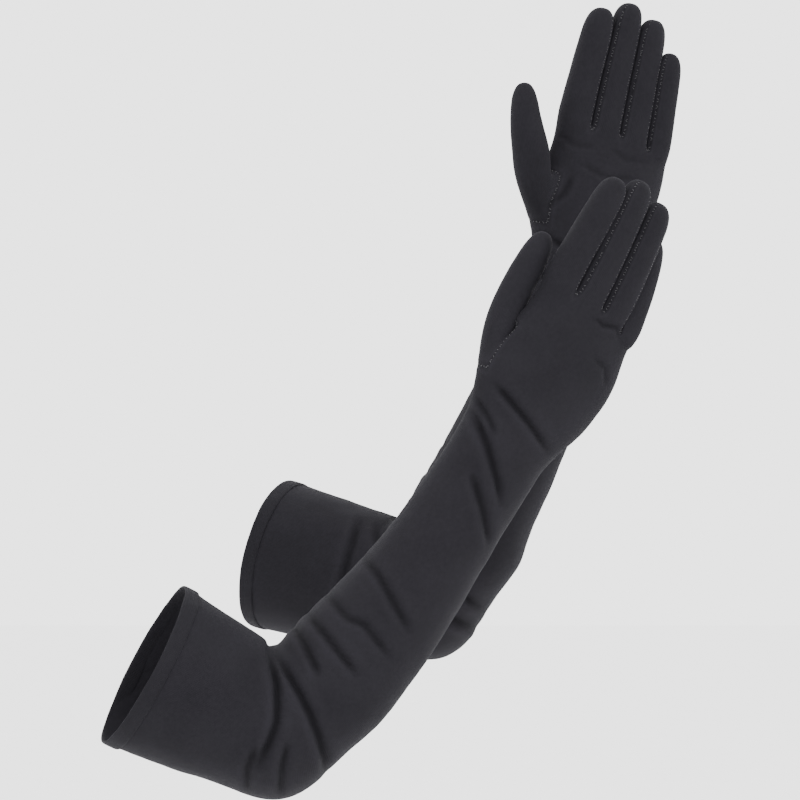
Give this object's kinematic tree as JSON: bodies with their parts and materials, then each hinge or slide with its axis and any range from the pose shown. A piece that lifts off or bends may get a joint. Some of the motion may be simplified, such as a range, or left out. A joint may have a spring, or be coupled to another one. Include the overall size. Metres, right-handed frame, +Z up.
{
  "type": "opera gloves",
  "caption": "Pair of long opera gloves in near-black matte stretch knit, each reaching above the bent elbow, with thin hem bands, fingers with fourchettes and set-in thumbs.",
  "frame": {"origin": "centre of the right glove's arm opening, in the plane of its hem", "axes": "+Z up along the raised forearms towards the fingertips; +X across, from the arm openings towards the hands; +Y from the right glove through to the left glove"},
  "size_m": [0.3635, 0.3012, 0.4917],
  "materials": {
    "knit_fabric": "matte",
    "hem_fabric": "matte",
    "fourchette_fabric": "matte"
  },
  "bodies": {
    "right_upper": {"right_hem_band": "hem_fabric", "right_upper_sleeve": "knit_fabric"},
    "right_forearm": {"right_elbow_sleeve": "knit_fabric", "right_forearm_sleeve": "knit_fabric"},
    "right_hand": {"right_wrist_sleeve": "knit_fabric", "right_hand_back": "knit_fabric", "right_hand_palm": "knit_fabric", "right_knuckle_band": "knit_fabric", "right_thumb_gusset": "knit_fabric"},
    "right_index": {"right_index_back": "knit_fabric", "right_index_palm": "knit_fabric", "right_index_fourchette_ulnar": "fourchette_fabric"},
    "right_middle": {"right_middle_back": "knit_fabric", "right_middle_palm": "knit_fabric", "right_middle_fourchette_radial": "fourchette_fabric", "right_middle_fourchette_ulnar": "fourchette_fabric"},
    "right_ring": {"right_ring_back": "knit_fabric", "right_ring_palm": "knit_fabric", "right_ring_fourchette_radial": "fourchette_fabric", "right_ring_fourchette_ulnar": "fourchette_fabric"},
    "right_little": {"right_little_back": "knit_fabric", "right_little_palm": "knit_fabric", "right_little_fourchette_radial": "fourchette_fabric"},
    "right_thumb": {"right_thumb_back": "knit_fabric", "right_thumb_palm": "knit_fabric"},
    "left_upper": {"left_hem_band": "hem_fabric", "left_upper_sleeve": "knit_fabric"},
    "left_forearm": {"left_elbow_sleeve": "knit_fabric", "left_forearm_sleeve": "knit_fabric"},
    "left_hand": {"left_wrist_sleeve": "knit_fabric", "left_hand_back": "knit_fabric", "left_hand_palm": "knit_fabric", "left_knuckle_band": "knit_fabric", "left_thumb_gusset": "knit_fabric"},
    "left_index": {"left_index_back": "knit_fabric", "left_index_palm": "knit_fabric", "left_index_fourchette_ulnar": "fourchette_fabric"},
    "left_middle": {"left_middle_back": "knit_fabric", "left_middle_palm": "knit_fabric", "left_middle_fourchette_radial": "fourchette_fabric", "left_middle_fourchette_ulnar": "fourchette_fabric"},
    "left_ring": {"left_ring_back": "knit_fabric", "left_ring_palm": "knit_fabric", "left_ring_fourchette_radial": "fourchette_fabric", "left_ring_fourchette_ulnar": "fourchette_fabric"},
    "left_little": {"left_little_back": "knit_fabric", "left_little_palm": "knit_fabric", "left_little_fourchette_radial": "fourchette_fabric"},
    "left_thumb": {"left_thumb_back": "knit_fabric", "left_thumb_palm": "knit_fabric"}
  },
  "joints": [
    {"name": "right_elbow", "type": "hinge", "parent": "right_upper", "child": "right_forearm", "pos_m": [0.08869, 0.01771, -0.04716], "axis": [0.1663, -0.9844, -0.057], "range_deg": [-80, 20], "deforming": ["right_elbow_sleeve"]},
    {"name": "right_wrist", "type": "hinge", "parent": "right_forearm", "child": "right_hand", "pos_m": [0.22605, 0.02996, 0.14189], "axis": [-0.7891, -0.4226, 0.4458], "range_deg": [-60, 20], "deforming": ["right_wrist_sleeve"]},
    {"name": "right_index", "type": "hinge", "parent": "right_hand", "child": "right_index", "pos_m": [0.24293, 0.02205, 0.21274], "axis": [-0.7891, -0.4226, 0.4458], "range_deg": [-10, 80]},
    {"name": "right_middle", "type": "hinge", "parent": "right_hand", "child": "right_middle", "pos_m": [0.26, 0.03071, 0.20539], "axis": [-0.7891, -0.4226, 0.4458], "range_deg": [-10, 80], "deforming": ["right_knuckle_band"]},
    {"name": "right_ring", "type": "hinge", "parent": "right_hand", "child": "right_ring", "pos_m": [0.27513, 0.03929, 0.19455], "axis": [-0.7891, -0.4226, 0.4458], "range_deg": [-10, 80]},
    {"name": "right_little", "type": "hinge", "parent": "right_hand", "child": "right_little", "pos_m": [0.28771, 0.047, 0.18285], "axis": [-0.7891, -0.4226, 0.4458], "range_deg": [-10, 80]},
    {"name": "right_thumb", "type": "hinge", "parent": "right_hand", "child": "right_thumb", "pos_m": [0.21434, 0.02612, 0.17361], "axis": [-0.3773, 0.9062, 0.1911], "range_deg": [-35, 0], "deforming": ["right_thumb_gusset"]},
    {"name": "left_elbow", "type": "hinge", "parent": "left_upper", "child": "left_forearm", "pos_m": [0.17992, 0.16396, 0.02982], "axis": [-0.329, -0.9397, 0.0936], "range_deg": [-80, 20], "deforming": ["left_elbow_sleeve"]},
    {"name": "left_wrist", "type": "hinge", "parent": "left_forearm", "child": "left_hand", "pos_m": [0.26939, 0.15416, 0.24581], "axis": [0.911, 0.3746, -0.1724], "range_deg": [-60, 20], "deforming": ["left_wrist_sleeve"]},
    {"name": "left_index", "type": "hinge", "parent": "left_hand", "child": "left_index", "pos_m": [0.26307, 0.14521, 0.31825], "axis": [0.911, 0.3746, -0.1724], "range_deg": [-10, 80]},
    {"name": "left_middle", "type": "hinge", "parent": "left_hand", "child": "left_middle", "pos_m": [0.28203, 0.15283, 0.31669], "axis": [0.911, 0.3746, -0.1724], "range_deg": [-10, 80], "deforming": ["left_knuckle_band"]},
    {"name": "left_ring", "type": "hinge", "parent": "left_hand", "child": "left_ring", "pos_m": [0.30024, 0.16049, 0.31121], "axis": [0.911, 0.3746, -0.1724], "range_deg": [-10, 80]},
    {"name": "left_little", "type": "hinge", "parent": "left_hand", "child": "left_little", "pos_m": [0.31624, 0.16744, 0.30411], "axis": [0.911, 0.3746, -0.1724], "range_deg": [-10, 80]},
    {"name": "left_thumb", "type": "hinge", "parent": "left_hand", "child": "left_thumb", "pos_m": [0.25337, 0.13804, 0.27114], "axis": [-0.3656, 0.9271, 0.0826], "range_deg": [-28, 8], "deforming": ["left_thumb_gusset"]},
    {"name": "left_glove_away", "type": "slide", "parent": "right_upper", "child": "left_upper", "axis": [0, 1, 0], "range_m": [0, 0.25]}
  ]
}
